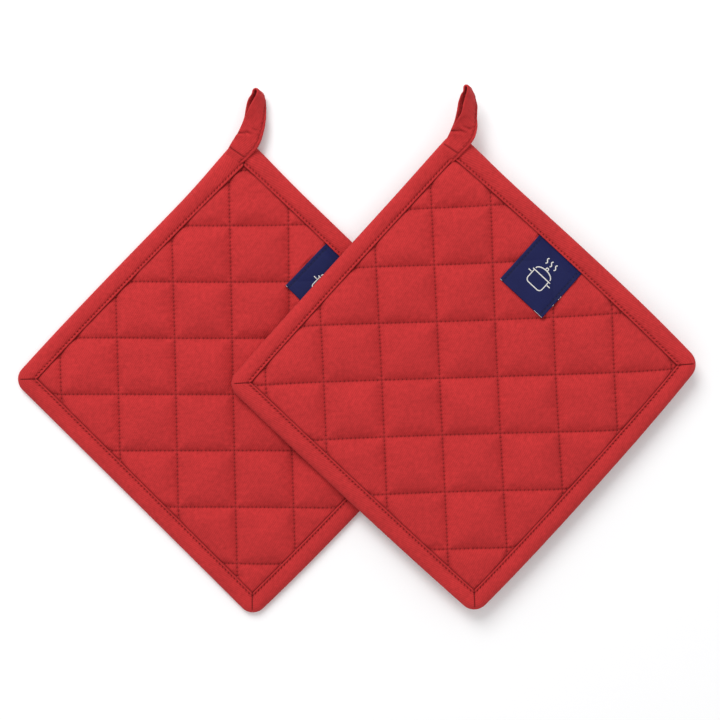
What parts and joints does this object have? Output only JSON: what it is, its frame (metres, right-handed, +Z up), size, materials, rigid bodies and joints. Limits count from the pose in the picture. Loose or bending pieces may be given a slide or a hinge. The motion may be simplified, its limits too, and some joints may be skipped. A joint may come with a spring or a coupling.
{
  "type": "quilted pot holder pair",
  "caption": "Pair of square quilted pot holders with bound edges and corner hanging loops, one lying partly over the other, for holding hot pans.",
  "frame": {"origin": "on the table under the middle of the pair's bounding box", "axes": "+Z up off the table, +Y towards the hanging loops, +X from the left holder to the right one"},
  "size_m": [0.4028, 0.3136, 0.0248],
  "materials": {
    "red_cotton": "matt cotton twill",
    "red_thread": "spun sewing thread",
    "white_wadding": "lofty wadding",
    "silver_lining": "coated needle felt",
    "navy_label": "woven satin label",
    "navy_thread": "spun sewing thread"
  },
  "bodies": {
    "left_holder": {"left_back_cover": "red_cotton", "left_thermal_lining": "silver_lining", "left_wadding": "white_wadding", "left_face_cover": "red_cotton", "left_binding": "red_cotton", "left_binding_thread": "red_thread", "left_quilting_thread": "red_thread", "left_label": "navy_label", "left_label_thread_upper": "navy_thread", "left_label_thread_lower": "navy_thread", "left_loop_tack": "red_thread"},
    "left_loop": {"left_hanging_loop": "red_cotton"},
    "right_holder": {"right_back_cover": "red_cotton", "right_thermal_lining": "silver_lining", "right_wadding": "white_wadding", "right_face_cover": "red_cotton", "right_binding": "red_cotton", "right_binding_thread": "red_thread", "right_quilting_thread": "red_thread", "right_label": "navy_label", "right_label_thread_upper": "navy_thread", "right_label_thread_lower": "navy_thread", "right_loop_tack": "red_thread"},
    "right_loop": {"right_hanging_loop": "red_cotton"}
  },
  "joints": [
    {"name": "right_holder_lift", "type": "slide", "parent": "left_holder", "child": "right_holder", "axis": [0, 0, 1], "range_m": [0, 0.15]},
    {"name": "left_loop_fold", "type": "hinge", "parent": "left_holder", "child": "left_loop", "pos_m": [-0.06646, 0.11631, 0.0083], "axis": [0.9823, -0.1874, 0], "range_deg": [0, 110]},
    {"name": "right_loop_fold", "type": "hinge", "parent": "right_holder", "child": "right_loop", "pos_m": [0.0577, 0.11929, 0.0171], "axis": [0.9919, -0.1271, 0], "range_deg": [0, 110]}
  ]
}
